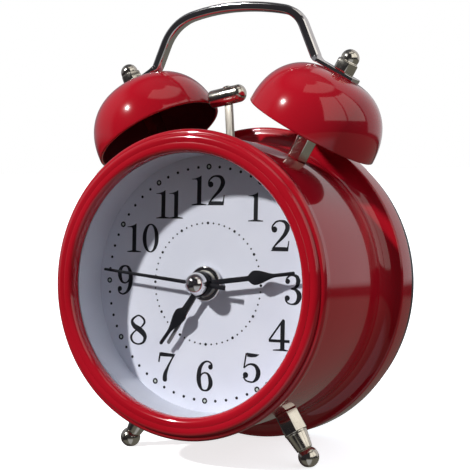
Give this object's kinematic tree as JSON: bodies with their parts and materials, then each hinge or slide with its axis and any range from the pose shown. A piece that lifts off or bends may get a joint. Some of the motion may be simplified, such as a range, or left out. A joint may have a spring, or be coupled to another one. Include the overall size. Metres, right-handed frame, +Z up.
{
  "type": "twin bell alarm clock",
  "caption": "Round metal twin bell alarm clock that leans back on turned feet and its rear band, with bow handle, swinging hammer, geared hands, rear setting knobs, switch and battery door",
  "frame": {"origin": "centre of the bounding box's bottom, on the surface the clock stands on", "axes": "front of the clock faces -Y, +X to the viewer's right, +Z up; the hand axis leans back about 4.2 degrees in the YZ plane"},
  "size_m": [0.0904, 0.0665, 0.1253],
  "materials": {
    "red_paint": "glossy red enamel",
    "clear_lens": "clear, polished",
    "white_plastic": "satin white",
    "dial_print": "printed white dial",
    "chrome": "bright chrome",
    "nickel": "warm nickel plate",
    "steel": "plain steel",
    "hand_black": "satin black",
    "hand_grey": "satin grey",
    "natural_plastic": "natural moulded",
    "board_green": "solder mask",
    "copper": "enamelled winding",
    "brass": "cut brass",
    "battery_wrap": "shrink sleeve",
    "black_plastic": "fine texture",
    "switch_grey": "satin"
  },
  "bodies": {
    "case": {"case_drum": "red_paint", "bezel": "red_paint", "lens": "clear_lens", "reflector_ring": "white_plastic", "dial": "dial_print", "dial_ring": "steel", "dial_nut": "chrome", "bell_left": "red_paint", "bell_right": "red_paint", "bell_post_left": "nickel", "bell_post_right": "nickel", "cap_nuts": "chrome", "handle": "chrome", "foot_left": "nickel", "foot_right": "nickel", "inner_nuts": "steel", "movement_front": "natural_plastic", "movement_rear": "natural_plastic", "movement_screws": "steel", "circuit_board": "board_green", "stepper_coil": "copper", "stepper_can": "nickel", "quartz_crystal": "nickel", "battery": "battery_wrap", "battery_contacts": "nickel", "back_cover": "black_plastic", "cover_screws": "steel", "ringer_bracket": "steel", "ringer_pins": "steel", "bell_motor": "nickel", "motor_screws": "steel", "switch_body": "natural_plastic"},
    "second": {"second_hand": "hand_black", "hub_cap": "chrome", "second_wheel": "natural_plastic"},
    "minute": {"minute_hand": "hand_black", "centre_wheel": "natural_plastic"},
    "hour": {"hour_hand": "hand_black", "hour_wheel": "natural_plastic"},
    "alarm": {"alarm_hand": "hand_grey", "alarm_wheel": "natural_plastic"},
    "third": {"third_wheel": "natural_plastic"},
    "time_set": {"motion_wheel": "natural_plastic", "time_set_knob": "black_plastic"},
    "alarm_set": {"alarm_stem": "natural_plastic", "alarm_set_knob": "black_plastic"},
    "hammer": {"hammer_arm": "steel", "hammer_head": "nickel", "hammer_rivet": "nickel"},
    "crank": {"crank_wheel": "natural_plastic"},
    "motor_shaft": {"motor_pinion": "brass"},
    "switch": {"switch_slider": "switch_grey"},
    "door": {"battery_door": "black_plastic"}
  },
  "joints": [
    {"name": "minute_turn", "type": "hinge", "parent": "case", "child": "minute", "pos_m": [0, -0.016, 0.04779], "axis": [0, 0.9972, -0.0746], "continuous": true},
    {"name": "second_turn", "type": "hinge", "parent": "case", "child": "second", "pos_m": [0, -0.016, 0.04779], "axis": [0, 0.9972, -0.0746], "continuous": true},
    {"name": "hour_turn", "type": "hinge", "parent": "case", "child": "hour", "pos_m": [0, -0.016, 0.04779], "axis": [0, 0.9972, -0.0746], "continuous": true},
    {"name": "third_turn", "type": "hinge", "parent": "case", "child": "third", "pos_m": [0, -0.00468, 0.03828], "axis": [0, 0.9972, -0.0746], "continuous": true},
    {"name": "time_set_turn", "type": "hinge", "parent": "case", "child": "time_set", "pos_m": [-0.00866, 0.02685, 0.0496], "axis": [0, 0.9972, -0.0746], "continuous": true},
    {"name": "alarm_set_turn", "type": "hinge", "parent": "case", "child": "alarm_set", "pos_m": [0.00866, 0.02685, 0.0496], "axis": [0, 0.9972, -0.0746], "continuous": true},
    {"name": "alarm_turn", "type": "hinge", "parent": "case", "child": "alarm", "pos_m": [0, -0.016, 0.04779], "axis": [0, 0.9972, -0.0746], "continuous": true},
    {"name": "crank_turn", "type": "hinge", "parent": "case", "child": "crank", "pos_m": [0, 0.00064, 0.06911], "axis": [0, 0.9972, -0.0746], "continuous": true},
    {"name": "motor_turn", "type": "hinge", "parent": "case", "child": "motor_shaft", "pos_m": [0.0064, 0.00064, 0.06911], "axis": [0, 0.9972, -0.0746], "continuous": true},
    {"name": "hammer_swing", "type": "hinge", "parent": "case", "child": "hammer", "pos_m": [0, -0.00053, 0.07772], "axis": [0, 0.9972, -0.0746], "range_deg": [0, 9]},
    {"name": "switch_slide", "type": "slide", "parent": "case", "child": "switch", "axis": [-1, 0, 0], "range_m": [0, 0.005]},
    {"name": "door_hinge", "type": "hinge", "parent": "case", "child": "door", "pos_m": [0, 0.02297, 0.02181], "axis": [-1, 0, 0], "range_deg": [0, 80]}
  ],
  "couplings": [
    {"joint": "third_turn", "follows": "minute_turn", "ratio": -8},
    {"joint": "second_turn", "follows": "minute_turn", "ratio": 60},
    {"joint": "hour_turn", "follows": "minute_turn", "ratio": 0.083333},
    {"joint": "time_set_turn", "follows": "minute_turn", "ratio": -0.33333},
    {"joint": "alarm_turn", "follows": "alarm_set_turn", "ratio": -0.33333},
    {"joint": "motor_turn", "follows": "crank_turn", "ratio": -3}
  ]
}
